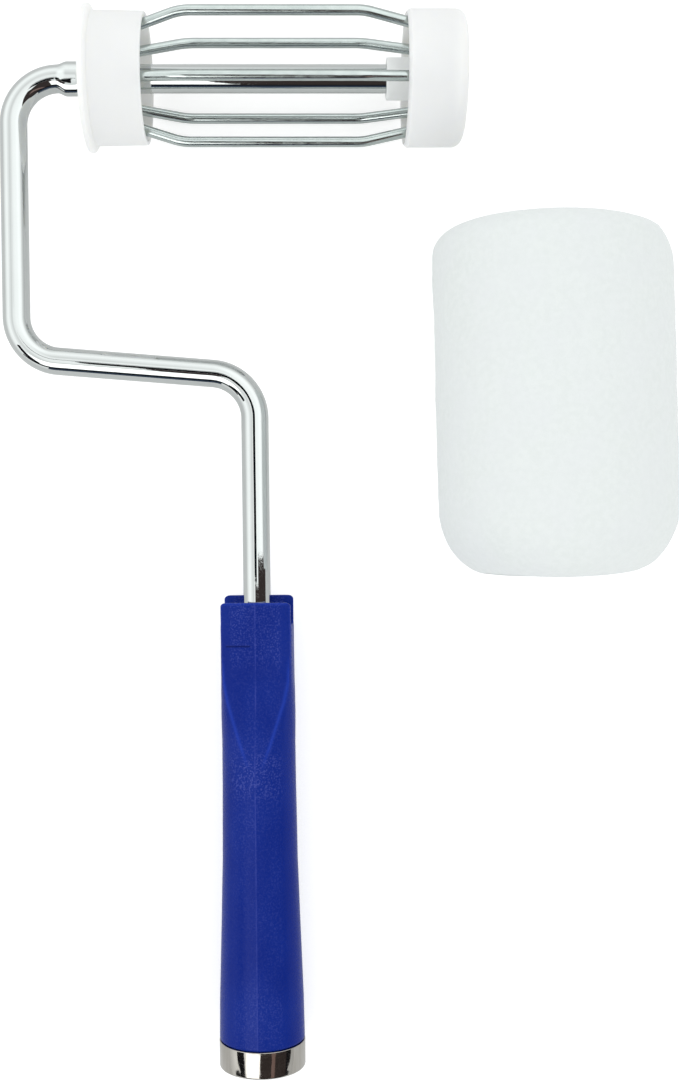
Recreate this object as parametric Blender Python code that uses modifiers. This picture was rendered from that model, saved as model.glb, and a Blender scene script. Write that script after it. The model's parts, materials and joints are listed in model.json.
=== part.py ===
"""Paint roller with a spring-wire cage, and its nap cover beside it.

The frame lies on its side as it does when it is put down: on the flange of the cage and on the end of
the handle.  +X runs along the axle from the flanged cap to the outer cap, +Y runs from the handle to
the axle, and +Z is up.  Lengths are in metres.
"""

import math

import bmesh
import bpy
from mathutils import Matrix, Vector

# ---------------------------------------------------------------- driving dimensions

GAP = 0.0003                    # clearance between pieces that touch on the real roller

# Frame rod: a bent wire.  Its corners lie in one plane, measured from where the axle meets the
# flange's outer face, and they are where the straight lines would cross.
ROD_RADIUS = 0.00397
ROD_BEND_RADIUS = 0.0131
AXLE_END = (0.1026, 0.0)
AXLE_CORNER = (-0.0215, 0.0)
ARM_CORNER = (-0.0207, -0.0802)
STEM_CORNER = (0.0481, -0.0856)
STEM_LEAN = math.radians(0.65)  # the stem and the handle lean this much away from square
STEM_LENGTH = 0.140             # from the stem's corner to the rod's end inside the handle
ROD_SIDES_RESOLUTION = 6
BEND_STEPS = 7

# Staked ears that stop the cage from sliding towards the arm.
EAR_START = -0.0086
EAR_SHOULDER = -0.0070
EAR_END = -0.00185
EAR_REACH = 0.00485
EAR_HALF_THICKNESS = 0.0017
DENT_DEPTH = 0.0009
DENT_WIDTH = 0.0030

# Flanged inner cap.
FLANGE_RADIUS = 0.02045
FLANGE_THICKNESS = 0.0015
INNER_CAP_ROOT_RADIUS = 0.0186
INNER_CAP_ROOT = 0.0024         # where the flange's sloping back meets the cap's side
FLANGE_EASING = 0.0005
INNER_CAP_MOUTH_RADIUS = 0.0183
INNER_CAP_DEPTH = 0.0172
CAP_WALL = 0.0012
CAP_FLOOR = 0.0024
HUB_WALL = 0.0019

# Outer cap.
OUTER_CAP_MOUTH = 0.0915
OUTER_CAP_DEPTH = 0.01685
OUTER_CAP_RADIUS = 0.01895
OUTER_CAP_CORNER = 0.0030
OUTER_CAP_CHAMFER = 0.0009

# Bushes, washers, push nut and plug.
BUSH_RADIUS = 0.0059
BUSH_BORE_RADIUS = ROD_RADIUS + GAP
OUTER_BUSH_START = 0.08615
OUTER_BUSH_END = 0.0985
INNER_BUSH_LENGTH = 0.0130
WASHER_THICKNESS = 0.0010
WASHER_RADIUS = 0.0068
PUSH_NUT_RADIUS = 0.0068
PUSH_NUT_THICKNESS = 0.0006
PUSH_NUT_HEIGHT = 0.0018
PLUG_THICKNESS = 0.0020

# Cage wires.
WIRE_COUNT = 5
WIRE_RADIUS = 0.0015
WIRE_PITCH_RADIUS = 0.0186      # from the axle to a wire's middle, between the bends
WIRE_BOWS = (0.0003, -0.0001, -0.0008, -0.0003, 0.0)    # how much each wire is bent out or in
WIRE_PHASE = math.radians(33.0)
WIRE_INNER_BEND = 0.0275
WIRE_OUTER_BEND = 0.0795
WIRE_INNER_END = (0.0075, 0.0120)   # along the axle, and out from it
WIRE_OUTER_END = (0.1010, 0.0134)
WIRE_BEND_RADIUS = 0.018
SEAT_RADIUS = 0.0026
SEAT_BORE_RADIUS = WIRE_RADIUS + GAP
SEAT_LENGTH = 0.0085

# Handle, measured along its axis from the stem's corner.
HANDLE_TWIST = math.radians(4.5)    # the grip is turned a little on the stem
FRONT_JAW_TOP = 0.0654
BACK_JAW_TOP = 0.0636
JAW_HALF_WIDTH = 0.0105
JAW_CORNER_RADIUS = 0.0013
SLOT_HALF_GAP = 0.00425
SLOT_BOTTOM = 0.0718
ROD_SOCKET_END = 0.142
FERRULE_START = 0.1935
HANDLE_LENGTH = 0.2013
FERRULE_RADIUS = 0.0126
FERRULE_WALL = 0.0007
FERRULE_LIP_RADIUS = 0.0099
POLE_SOCKET_RADIUS = 0.00905
POLE_SOCKET_START = 0.168
# Along the axis, half width of the sides, half depth of the flats, radius of the round.
HANDLE_STATIONS = (
    (0.0600, 0.0105, 0.0063, 0.0121),
    (0.0780, 0.0105, 0.0063, 0.0118),
    (0.0880, 0.0107, 0.0064, 0.0114),
    (0.0940, 0.0113, 0.0074, 0.0110),
    (0.1060, 0.0131, 0.0098, 0.0107),
    (0.1180, 0.0160, 0.0150, 0.01075),
    (0.1300, 0.0160, 0.0160, 0.0109),
    (0.1405, 0.0160, 0.0160, 0.0110),
    (0.1480, 0.0160, 0.0160, 0.01125),
    (0.1570, 0.0160, 0.0160, 0.0115),
    (0.1690, 0.0160, 0.0160, 0.0119),
    (0.1810, 0.0160, 0.0160, 0.0123),
    (0.1932, 0.0160, 0.0160, 0.0125),
)
HANDLE_SHARPNESS = 20.0         # how tightly the flats turn into the round
HANDLE_SIDES = 40
HANDLE_STEP = 0.0075

# Cover.
COVER_LENGTH = 0.0960
CORE_BORE_RADIUS = 0.0192
CORE_RADIUS = 0.0210
CORE_STAND_OUT = 0.0003
NAP_RADIUS = 0.0327
# The half axes of the nap's rounded ends, out from the axis and along it.
NAP_UPPER_SHOULDER = (0.0065, 0.0065)
NAP_LOWER_SHOULDER = (0.0160, 0.0195)
NAP_FACE = 0.0006               # the least width of the flat ring that is left round the core
COVER_FROM_FLANGE = 0.1326      # from the flange's face to the cover's axis, along the axle
COVER_FROM_AXLE = 0.0955        # from the axle to the cover's middle, towards the handle
COVER_YAW = math.radians(1.5)

TURN_STEPS = 48
SMALL_TURN_STEPS = 32
FAR = 0.020                     # how far cutters run past what they cut

MERGE = 0.00001


# ---------------------------------------------------------------- scene and materials

def clear_scene():
    """Remove everything that the file starts with."""
    for thing in list(bpy.data.objects):
        bpy.data.objects.remove(thing, do_unlink=True)


def new_collection(name, hidden=False):
    """Add a collection to the scene."""
    collection = bpy.data.collections.new(name)
    collection.hide_render = hidden
    bpy.context.scene.collection.children.link(collection)
    return collection


def new_material(name, colour, roughness, metallic=0.0):
    """Make a plain Principled material."""
    material = bpy.data.materials.new(name)
    material.use_nodes = True
    shader = material.node_tree.nodes["Principled BSDF"]
    shader.inputs["Base Color"].default_value = (*colour, 1.0)
    shader.inputs["Roughness"].default_value = roughness
    shader.inputs["Metallic"].default_value = metallic
    material.diffuse_color = (*colour, 1.0)
    return material


clear_scene()
PARTS = new_collection("paint_roller")
CUTTERS = new_collection("cutters", hidden=True)

PLATED_STEEL = ("plated_steel", (0.72, 0.73, 0.74), 0.16, 1.0)
ZINC_WIRE = ("zinc_wire", (0.46, 0.49, 0.48), 0.30, 1.0)
BLUE_PLASTIC = ("blue_plastic", (0.005, 0.020, 0.330), 0.34, 0.0)
POLISHED_BAND = ("polished_band", (0.70, 0.68, 0.66), 0.10, 1.0)
WHITE_PLASTIC = ("white_plastic", (0.78, 0.79, 0.78), 0.42, 0.0)
BUSH_PLASTIC = ("bush_plastic", (0.74, 0.75, 0.75), 0.38, 0.0)
SPRING_STEEL = ("spring_steel", (0.50, 0.50, 0.52), 0.32, 1.0)
CORE_PLASTIC = ("core_plastic", (0.62, 0.63, 0.64), 0.48, 0.0)
NAP_PILE = ("nap_pile", (0.84, 0.85, 0.86), 0.95, 0.0)


# ---------------------------------------------------------------- helpers

def new_empty(name, parent=None, location=(0.0, 0.0, 0.0), rotation=(0.0, 0.0, 0.0)):
    """Add an empty that carries other objects."""
    empty = bpy.data.objects.new(name, None)
    empty.parent = parent
    empty.location = location
    empty.rotation_euler = rotation
    PARTS.objects.link(empty)
    return empty


def place(thing, parent, look=None, location=(0.0, 0.0, 0.0), rotation=(0.0, 0.0, 0.0)):
    """Put an object under its parent, with its own material if it is a part."""
    thing.parent = parent
    thing.location = location
    thing.rotation_euler = rotation
    if look:
        name, colour, roughness, metallic = look
        material = new_material(f"{thing.name}_{name}", colour, roughness, metallic)
        thing.data.materials.clear()
        thing.data.materials.append(material)
    return thing


def add_object(name, data, collection=PARTS):
    """Link new data to a new object."""
    thing = bpy.data.objects.new(name, data)
    collection.objects.link(thing)
    return thing


def as_cutter(thing):
    """Mark an object as a cutting tool that isn't part of the roller."""
    thing.hide_render = True
    thing.display_type = "WIRE"
    return thing


def arc(centre, radius, start, end, steps):
    """Points on an arc, with its angles in degrees."""
    points = []
    for step in range(steps + 1):
        angle = math.radians(start + (end - start) * step / steps)
        points.append((centre[0] + radius * math.cos(angle), centre[1] + radius * math.sin(angle)))
    return points


def turned(name, profile, closed=True, steps=TURN_STEPS, collection=PARTS):
    """A turned solid about its local Z axis from (radius, height) points."""
    mesh = bpy.data.meshes.new(name)
    count = len(profile)
    last = count if closed else count - 1
    edges = [(index, (index + 1) % count) for index in range(last)]
    mesh.from_pydata([(radius, 0.0, height) for radius, height in profile], edges, [])
    thing = add_object(name, mesh, collection)
    screw = thing.modifiers.new("turn", "SCREW")
    screw.axis = "Z"
    screw.steps = steps
    screw.render_steps = steps
    screw.use_merge_vertices = True
    screw.merge_threshold = MERGE
    screw.use_smooth_shade = True
    return thing


def apply_modifiers(thing):
    """Turn a modified object or a curve into a plain welded mesh under the same name."""
    graph = bpy.context.evaluated_depsgraph_get()
    mesh = bpy.data.meshes.new_from_object(thing.evaluated_get(graph))
    solid = bmesh.new()
    solid.from_mesh(mesh)
    bmesh.ops.remove_doubles(solid, verts=solid.verts, dist=MERGE)
    solid.to_mesh(mesh)
    solid.free()
    name = thing.name
    collection = thing.users_collection[0]
    bpy.data.objects.remove(thing, do_unlink=True)
    return add_object(name, mesh, collection)


def cylinder_between(name, start, end, radius, sides, collection):
    """A round bar from one point to another."""
    start = Vector(start)
    end = Vector(end)
    mesh = bpy.data.meshes.new(name)
    solid = bmesh.new()
    bmesh.ops.create_cone(
        solid,
        cap_ends=True,
        segments=sides,
        radius1=radius,
        radius2=radius,
        depth=(end - start).length,
    )
    turn = (end - start).to_track_quat("Z", "Y").to_matrix().to_4x4()
    bmesh.ops.transform(solid, matrix=Matrix.Translation((start + end) / 2) @ turn, verts=solid.verts)
    solid.to_mesh(mesh)
    solid.free()
    return add_object(name, mesh, collection)


def box_between(name, low, high, collection):
    """A box from its lowest corner to its highest."""
    mesh = bpy.data.meshes.new(name)
    solid = bmesh.new()
    bmesh.ops.create_cube(solid, size=1.0)
    low = Vector(low)
    high = Vector(high)
    scale = Matrix.Diagonal((*(high - low), 1.0))
    bmesh.ops.transform(solid, matrix=Matrix.Translation((low + high) / 2) @ scale, verts=solid.verts)
    solid.to_mesh(mesh)
    solid.free()
    return add_object(name, mesh, collection)


def plate(name, outline, half_thickness, collection):
    """A flat plate in the local XY plane from a 2D outline."""
    curve = bpy.data.curves.new(name, "CURVE")
    curve.dimensions = "2D"
    curve.fill_mode = "BOTH"
    curve.extrude = half_thickness
    spline = curve.splines.new("POLY")
    spline.points.add(len(outline) - 1)
    for point, (x, y) in zip(spline.points, outline):
        point.co = (x, y, 0.0, 1.0)
    spline.use_cyclic_u = True
    return apply_modifiers(add_object(name, curve, collection))


def wire(name, points, radius, resolution, collection=PARTS):
    """A round wire along its middle line, as a welded mesh."""
    curve = bpy.data.curves.new(name, "CURVE")
    curve.dimensions = "3D"
    curve.bevel_depth = radius
    curve.bevel_resolution = resolution
    curve.use_fill_caps = True
    spline = curve.splines.new("POLY")
    spline.points.add(len(points) - 1)
    for point, co in zip(spline.points, points):
        point.co = (*co, 1.0)
    return apply_modifiers(add_object(name, curve, collection))


def rounded_path(corners, radius, steps):
    """A line through corners with each inner corner turned on an arc."""
    points = [Vector(corners[0])]
    for before, corner, after in zip(corners, corners[1:], corners[2:]):
        corner = Vector(corner)
        back = (Vector(before) - corner).normalized()
        on = (Vector(after) - corner).normalized()
        half = back.angle(on) / 2
        centre = corner + (back + on).normalized() * (radius / math.sin(half))
        start = corner + back * (radius / math.tan(half)) - centre
        normal = back.cross(on)
        sweep = math.pi - 2 * half
        for step in range(steps + 1):
            points.append(centre + Matrix.Rotation(-sweep * step / steps, 3, normal) @ start)
    points.append(Vector(corners[-1]))
    return points


def combine(thing, tool, operation):
    """Join or cut with a Boolean that stays on the object."""
    boolean = thing.modifiers.new(tool.name, "BOOLEAN")
    boolean.operation = operation
    boolean.solver = "EXACT"
    boolean.object = as_cutter(tool)


def smooth_round_faces(thing, degrees=35.0):
    """Shade round faces smooth and keep real edges sharp."""
    thing.data.shade_smooth()
    thing.data.set_sharp_from_angle(angle=math.radians(degrees))


# ---------------------------------------------------------------- what carries the pieces

FERRULE_END = Vector((STEM_CORNER[0], STEM_CORNER[1], 0.0)) + Vector(
    (math.sin(STEM_LEAN), -math.cos(STEM_LEAN), 0.0)) * HANDLE_LENGTH
REACH = math.hypot(FERRULE_END.y, FERRULE_RADIUS)
# The frame leans until the ferrule's rim and the flange both touch the surface.
REST_TILT = math.asin(FLANGE_RADIUS / REACH) - math.atan2(FERRULE_RADIUS, -FERRULE_END.y)

LAYOUT = new_empty("layout")
FRAME = new_empty("frame_rest", LAYOUT, (0.0, 0.0, FLANGE_RADIUS), (REST_TILT, 0.0, 0.0))
ALONG_AXLE = (0.0, math.pi / 2, 0.0)
CAGE = new_empty("cage_axis", FRAME, rotation=ALONG_AXLE)
HANDLE = new_empty("handle_axis", FRAME, (*STEM_CORNER, 0.0), (math.pi / 2, 0.0, STEM_LEAN))
COVER = new_empty(
    "cover_place",
    LAYOUT,
    (COVER_FROM_FLANGE, -COVER_FROM_AXLE, NAP_RADIUS),
    (math.pi / 2, 0.0, COVER_YAW),
)


# ---------------------------------------------------------------- frame rod

def build_rod():
    """The bent wire with its two staked ears."""
    stem_end = Vector((*STEM_CORNER, 0.0)) + Vector(
        (math.sin(STEM_LEAN), -math.cos(STEM_LEAN), 0.0)) * STEM_LENGTH
    corners = [(*AXLE_END, 0.0), (*AXLE_CORNER, 0.0), (*ARM_CORNER, 0.0), (*STEM_CORNER, 0.0), stem_end]
    path = rounded_path(corners, ROD_BEND_RADIUS, BEND_STEPS)
    rod = wire("frame_rod", path, ROD_RADIUS, ROD_SIDES_RESOLUTION)
    outline = [
        (EAR_START, -ROD_RADIUS * 0.9),
        (EAR_SHOULDER, -EAR_REACH),
        (EAR_END, -EAR_REACH),
        (EAR_END, EAR_REACH),
        (EAR_SHOULDER, EAR_REACH),
        (EAR_START, ROD_RADIUS * 0.9),
    ]
    ears = plate("ear_plate", outline, EAR_HALF_THICKNESS, CUTTERS)
    combine(rod, place(ears, FRAME), "UNION")
    for side in (-1.0, 1.0):
        inner = side * (ROD_RADIUS - DENT_DEPTH)
        outer = side * (ROD_RADIUS + FAR)
        dent = box_between(
            f"ear_dent_{'lower' if side < 0 else 'upper'}",
            (EAR_SHOULDER, -DENT_WIDTH / 2, min(inner, outer)),
            (EAR_END - DENT_DEPTH, DENT_WIDTH / 2, max(inner, outer)),
            CUTTERS,
        )
        combine(rod, place(dent, FRAME), "DIFFERENCE")
    smooth_round_faces(rod)
    return place(rod, FRAME, PLATED_STEEL)


# ---------------------------------------------------------------- cage

def wire_angle(index):
    """The angle of a wire round the axle, from +Y towards +Z."""
    return WIRE_PHASE - index * 2 * math.pi / WIRE_COUNT


def on_wire_plane(index, along, out):
    """A point in the cage's own axes, whose Z runs along the axle."""
    angle = wire_angle(index)
    return Vector((-out * math.sin(angle), out * math.cos(angle), along))


def wire_corners(index):
    """The four corners of a wire, as distances along the axle and out from it."""
    out = WIRE_PITCH_RADIUS + WIRE_BOWS[index]
    return [WIRE_INNER_END, (WIRE_INNER_BEND, out), (WIRE_OUTER_BEND, out), WIRE_OUTER_END]


def build_wire(index):
    """One bowed spring wire."""
    corners = [on_wire_plane(index, along, out) for along, out in wire_corners(index)]
    spring = wire(f"cage_wire_{index + 1}", rounded_path(corners, WIRE_BEND_RADIUS, 3), WIRE_RADIUS, 3)
    smooth_round_faces(spring)
    return place(spring, CAGE, ZINC_WIRE)


def add_wire_seats(cap, end_index, bend_index, floor):
    """Give a cap five bosses, each with a blind hole for a wire's end."""
    tools = []
    for index in range(WIRE_COUNT):
        corners = wire_corners(index)
        end = on_wire_plane(index, *corners[end_index])
        way = (on_wire_plane(index, *corners[bend_index]) - end).normalized()
        depth = abs(floor - end.z) / abs(way.z)
        base = end - way * depth
        boss = cylinder_between(f"{cap.name}_boss_{index + 1}", base, base + way * SEAT_LENGTH,
                                SEAT_RADIUS, 20, CUTTERS)
        hole = cylinder_between(f"{cap.name}_hole_{index + 1}", end - way * GAP,
                                end + way * FAR, SEAT_BORE_RADIUS, 16, CUTTERS)
        tools.append((place(boss, CAGE), place(hole, CAGE)))
    for boss, _ in tools:
        combine(cap, boss, "UNION")
    for _, hole in tools:
        combine(cap, hole, "DIFFERENCE")


def build_inner_cap():
    """The flanged cap: a cup with a hub for the bush."""
    hub_bore = BUSH_RADIUS + GAP
    hub_out = hub_bore + HUB_WALL
    floor = CAP_FLOOR
    inside = INNER_CAP_MOUTH_RADIUS - CAP_WALL
    edge = 0.0004
    profile = [
        (INNER_CAP_MOUTH_RADIUS - edge, INNER_CAP_DEPTH),
        (INNER_CAP_MOUTH_RADIUS, INNER_CAP_DEPTH - edge),
        (INNER_CAP_ROOT_RADIUS, INNER_CAP_ROOT),
        (FLANGE_RADIUS - FLANGE_EASING, FLANGE_THICKNESS),
        (FLANGE_RADIUS, FLANGE_THICKNESS - FLANGE_EASING),
        (FLANGE_RADIUS, FLANGE_EASING),
        (FLANGE_RADIUS - FLANGE_EASING, 0.0),
        (hub_bore, 0.0),
        (hub_bore, INNER_BUSH_LENGTH - 0.001),
        (hub_out, INNER_BUSH_LENGTH - 0.001),
        (hub_out, floor),
        (inside, floor),
        (inside, INNER_CAP_DEPTH),
    ]
    cap = apply_modifiers(turned("inner_end_cap", profile))
    add_wire_seats(cap, 0, 1, floor - 0.001)
    smooth_round_faces(cap)
    return place(cap, CAGE, WHITE_PLASTIC)


def build_outer_cap():
    """The rounded cap: a cup with a stepped hub, open at its middle for the push nut."""
    mouth = OUTER_CAP_MOUTH
    end = mouth + OUTER_CAP_DEPTH
    floor = end - CAP_FLOOR
    inside = OUTER_CAP_RADIUS - CAP_WALL
    hub_bore = BUSH_RADIUS + GAP
    nut_bore = PUSH_NUT_RADIUS + 2 * GAP
    hub_out = nut_bore + CAP_WALL
    hub_mouth = mouth + 0.0020
    step = OUTER_BUSH_END - 0.0004
    corner = arc((OUTER_CAP_RADIUS - OUTER_CAP_CORNER, end - OUTER_CAP_CORNER), OUTER_CAP_CORNER, 90, 0, 6)
    inner_corner = OUTER_CAP_CORNER - CAP_WALL
    inner = arc((inside - inner_corner, floor - inner_corner), inner_corner, 0, 90, 3)
    profile = [(nut_bore, end)]
    profile += corner
    profile += [
        (OUTER_CAP_RADIUS, mouth + OUTER_CAP_CHAMFER),
        (OUTER_CAP_RADIUS - OUTER_CAP_CHAMFER, mouth),
        (inside, mouth),
    ]
    profile += inner
    profile += [
        (hub_out, floor),
        (hub_out, hub_mouth),
        (hub_bore, hub_mouth),
        (hub_bore, step),
        (nut_bore, step),
    ]
    cap = apply_modifiers(turned("outer_end_cap", profile))
    add_wire_seats(cap, 3, 2, floor + 0.001)
    smooth_round_faces(cap)
    return place(cap, CAGE, WHITE_PLASTIC)


def build_sleeve(name, bore, radius, start, end, look, edge=0.0003):
    """A plain sleeve or washer with eased outer edges."""
    profile = [
        (bore, end),
        (radius - edge, end),
        (radius, end - edge),
        (radius, start + edge),
        (radius - edge, start),
        (bore, start),
    ]
    return place(turned(name, profile, steps=SMALL_TURN_STEPS), CAGE, look)


def build_push_nut():
    """The dished spring washer that grips the axle's end."""
    start = OUTER_BUSH_END + WASHER_THICKNESS + 2 * GAP
    rim = start + PUSH_NUT_THICKNESS
    crown = start + PUSH_NUT_HEIGHT
    bore = BUSH_BORE_RADIUS
    profile = [
        (bore, crown),
        (bore + 0.0007, crown),
        (PUSH_NUT_RADIUS - 0.0006, rim),
        (PUSH_NUT_RADIUS, rim),
        (PUSH_NUT_RADIUS, start),
        (PUSH_NUT_RADIUS - 0.0009, start),
        (bore, crown - PUSH_NUT_THICKNESS),
    ]
    return place(turned("axle_push_nut", profile, steps=SMALL_TURN_STEPS), CAGE, SPRING_STEEL)


def build_plug():
    """The shallow plug in the outer cap's end."""
    end = OUTER_CAP_MOUTH + OUTER_CAP_DEPTH
    radius = PUSH_NUT_RADIUS + GAP
    profile = [
        (0.0, end + 0.0003),
        (radius * 0.6, end + 0.0002),
        (radius - 0.0004, end),
        (radius, end - 0.0004),
        (radius, end - PLUG_THICKNESS),
        (0.0, end - PLUG_THICKNESS),
    ]
    return place(turned("outer_cap_plug", profile, closed=False, steps=SMALL_TURN_STEPS), CAGE, WHITE_PLASTIC)


def build_cage():
    """Everything on the axle."""
    build_inner_cap()
    build_outer_cap()
    build_sleeve("inner_thrust_washer", BUSH_BORE_RADIUS, WASHER_RADIUS,
                 EAR_END + GAP, -GAP, SPRING_STEEL, 0.0001)
    build_sleeve("inner_bearing_bush", BUSH_BORE_RADIUS, BUSH_RADIUS, 0.0, INNER_BUSH_LENGTH, BUSH_PLASTIC)
    build_sleeve("outer_bearing_bush", BUSH_BORE_RADIUS, BUSH_RADIUS,
                 OUTER_BUSH_START, OUTER_BUSH_END, BUSH_PLASTIC)
    washer_start = OUTER_BUSH_END + GAP
    build_sleeve("outer_thrust_washer", BUSH_BORE_RADIUS, WASHER_RADIUS,
                 washer_start, washer_start + WASHER_THICKNESS, SPRING_STEEL, 0.0001)
    build_push_nut()
    build_plug()
    for index in range(WIRE_COUNT):
        build_wire(index)


# ---------------------------------------------------------------- handle

def handle_section(along):
    """Half width, half depth and round radius of the handle at a place along it."""
    for (start, *first), (end, *second) in zip(HANDLE_STATIONS, HANDLE_STATIONS[1:]):
        if along <= end:
            share = (along - start) / (end - start)
            return [a + (b - a) * share for a, b in zip(first, second)]
    return HANDLE_STATIONS[-1][1:]


def section_radius(angle, half_width, half_depth, round_radius):
    """How far a rounded section with two flats reaches at an angle."""
    reach = (abs(math.cos(angle)) / half_width) ** HANDLE_SHARPNESS
    reach += (abs(math.sin(angle)) / half_depth) ** HANDLE_SHARPNESS
    reach += (1.0 / round_radius) ** HANDLE_SHARPNESS
    return reach ** (-1.0 / HANDLE_SHARPNESS)


def loft(name, rings):
    """A closed solid through rings of points."""
    mesh = bpy.data.meshes.new(name)
    solid = bmesh.new()
    loops = [[solid.verts.new(point) for point in ring] for ring in rings]
    for lower, upper in zip(loops, loops[1:]):
        for index in range(len(lower)):
            after = (index + 1) % len(lower)
            solid.faces.new((lower[index], lower[after], upper[after], upper[index]))
    solid.faces.new(list(reversed(loops[0])))
    solid.faces.new(loops[-1])
    bmesh.ops.recalc_face_normals(solid, faces=solid.faces)
    solid.to_mesh(mesh)
    solid.free()
    return add_object(name, mesh)


def handle_rings():
    """The rings of the grip, with the spigot that the ferrule sits on."""
    places = []
    for (start, *_), (end, *_) in zip(HANDLE_STATIONS, HANDLE_STATIONS[1:]):
        steps = max(1, round((end - start) / HANDLE_STEP))
        places += [start + (end - start) * step / steps for step in range(steps)]
    places.append(HANDLE_STATIONS[-1][0])
    rings = []
    for along in places:
        ring = []
        for side in range(HANDLE_SIDES):
            angle = 2 * math.pi * side / HANDLE_SIDES
            reach = section_radius(angle, *handle_section(along))
            ring.append((reach * math.cos(angle), reach * math.sin(angle), along))
        rings.append(ring)
    spigot = FERRULE_RADIUS - FERRULE_WALL - GAP
    spigot_end = HANDLE_LENGTH - FERRULE_WALL - GAP
    for along in (HANDLE_STATIONS[-1][0], spigot_end):
        ring = []
        for side in range(HANDLE_SIDES):
            angle = 2 * math.pi * side / HANDLE_SIDES
            ring.append((spigot * math.cos(angle), spigot * math.sin(angle), along))
        rings.append(ring)
    return rings


def jaw_trimmer(name, top, side):
    """A cutter that leaves one jaw with a square top and rounded corners."""
    wide = JAW_HALF_WIDTH + FAR
    low = top - FAR
    radius = JAW_CORNER_RADIUS
    edge = JAW_HALF_WIDTH
    outline = [(-wide, low), (wide, low), (wide, top + radius)]
    outline += arc((edge - radius, top + radius), radius, 0, -90, 4)
    outline += arc((-edge + radius, top + radius), radius, -90, -180, 4)
    outline += [(-wide, top + radius)]
    trimmer = plate(name, outline, FAR / 2, CUTTERS)
    offset = Vector((0.0, side * FAR / 2, 0.0))
    offset.rotate(Matrix.Rotation(HANDLE_TWIST, 3, "Z"))
    return place(trimmer, HANDLE, location=offset, rotation=(math.pi / 2, 0.0, HANDLE_TWIST))


def build_handle():
    """The moulded grip, forked at its top and with a round socket at each end."""
    grip = loft("handle_grip", handle_rings())
    slot = box_between("handle_slot", (-FAR, -SLOT_HALF_GAP, BACK_JAW_TOP - FAR),
                       (FAR, SLOT_HALF_GAP, SLOT_BOTTOM), CUTTERS)
    rod_socket = cylinder_between("rod_socket", (0.0, 0.0, SLOT_BOTTOM - GAP),
                                  (0.0, 0.0, ROD_SOCKET_END), SLOT_HALF_GAP - 0.00005, 32, CUTTERS)
    pole_socket = cylinder_between("pole_socket", (0.0, 0.0, POLE_SOCKET_START),
                                   (0.0, 0.0, HANDLE_LENGTH + FAR), POLE_SOCKET_RADIUS, 36, CUTTERS)
    twist = (0.0, 0.0, HANDLE_TWIST)
    for cutter in (slot, rod_socket, pole_socket):
        combine(grip, place(cutter, HANDLE, rotation=twist), "DIFFERENCE")
    combine(grip, jaw_trimmer("front_jaw_trimmer", FRONT_JAW_TOP, 1.0), "DIFFERENCE")
    combine(grip, jaw_trimmer("back_jaw_trimmer", BACK_JAW_TOP, -1.0), "DIFFERENCE")
    smooth_round_faces(grip)
    return place(grip, HANDLE, BLUE_PLASTIC, rotation=twist)


def build_ferrule():
    """The drawn metal band, turned in over the handle's end."""
    wall = FERRULE_WALL
    edge = 0.0005
    profile = [
        (FERRULE_LIP_RADIUS, HANDLE_LENGTH),
        (FERRULE_RADIUS - edge, HANDLE_LENGTH),
        (FERRULE_RADIUS - edge * 0.3, HANDLE_LENGTH - edge * 0.3),
        (FERRULE_RADIUS, HANDLE_LENGTH - edge),
        (FERRULE_RADIUS, FERRULE_START),
        (FERRULE_RADIUS - wall, FERRULE_START),
        (FERRULE_RADIUS - wall, HANDLE_LENGTH - wall),
        (FERRULE_LIP_RADIUS, HANDLE_LENGTH - wall),
    ]
    return place(turned("handle_end_ferrule", profile), HANDLE, POLISHED_BAND)


# ---------------------------------------------------------------- cover

def shoulder(end, reach, side):
    """A rounded end of the nap, from its flat face to its full radius."""
    out, along = reach
    depth = min(out, NAP_RADIUS - CORE_RADIUS - GAP - NAP_FACE)
    face = math.degrees(math.acos(1 - depth / out))
    points = []
    for x, y in arc((0.0, 0.0), 1.0, face, 0, 6):
        drop = math.sin(math.radians(face)) - y
        points.append((NAP_RADIUS - out + out * x, end - side * along * drop))
    return points


def build_cover():
    """The core tube and the nap round it."""
    half = COVER_LENGTH / 2
    core_half = half + CORE_STAND_OUT
    core = [
        (CORE_BORE_RADIUS, core_half),
        (CORE_RADIUS, core_half),
        (CORE_RADIUS, -core_half),
        (CORE_BORE_RADIUS, -core_half),
    ]
    place(turned("cover_core", core), COVER, CORE_PLASTIC)
    inside = CORE_RADIUS + GAP
    nap = [(inside, -half)]
    nap += shoulder(-half, NAP_UPPER_SHOULDER, -1.0)
    nap += reversed(shoulder(half, NAP_LOWER_SHOULDER, 1.0))
    nap += [(inside, half)]
    nap.reverse()
    place(turned("nap_sleeve", nap), COVER, NAP_PILE)


# ---------------------------------------------------------------- layout

def centre_on_floor():
    """Move the whole layout so that its box stands on Z = 0, centred on the origin."""
    graph = bpy.context.evaluated_depsgraph_get()
    corners = []
    for thing in PARTS.objects:
        if thing.type == "MESH":
            solid = thing.evaluated_get(graph)
            corners += [solid.matrix_world @ vertex.co for vertex in solid.data.vertices]
    low = Vector(min(corner[axis] for corner in corners) for axis in range(3))
    high = Vector(max(corner[axis] for corner in corners) for axis in range(3))
    LAYOUT.location = (-(low.x + high.x) / 2, -(low.y + high.y) / 2, -low.z)


build_rod()
build_cage()
build_handle()
build_ferrule()
build_cover()
centre_on_floor()
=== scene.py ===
"""Looks for a paint roller with a spring-wire cage, and for its nap cover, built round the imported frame.

Lengths are in metres.  Each piece is modelled in the axes of what carries it:
  rod      x along the axle from the flange's outer face, y from the handle to the axle, z up
  cage     z along the axle from the flange's outer face
  handle   z from the stem's corner to the ferrule, y out of the front of the grip
  cover    z along the cover from its middle towards the handle
"""

import json
import math

import bmesh
import bpy
import numpy as np
from mathutils import Euler, Matrix, Vector, noise


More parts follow.
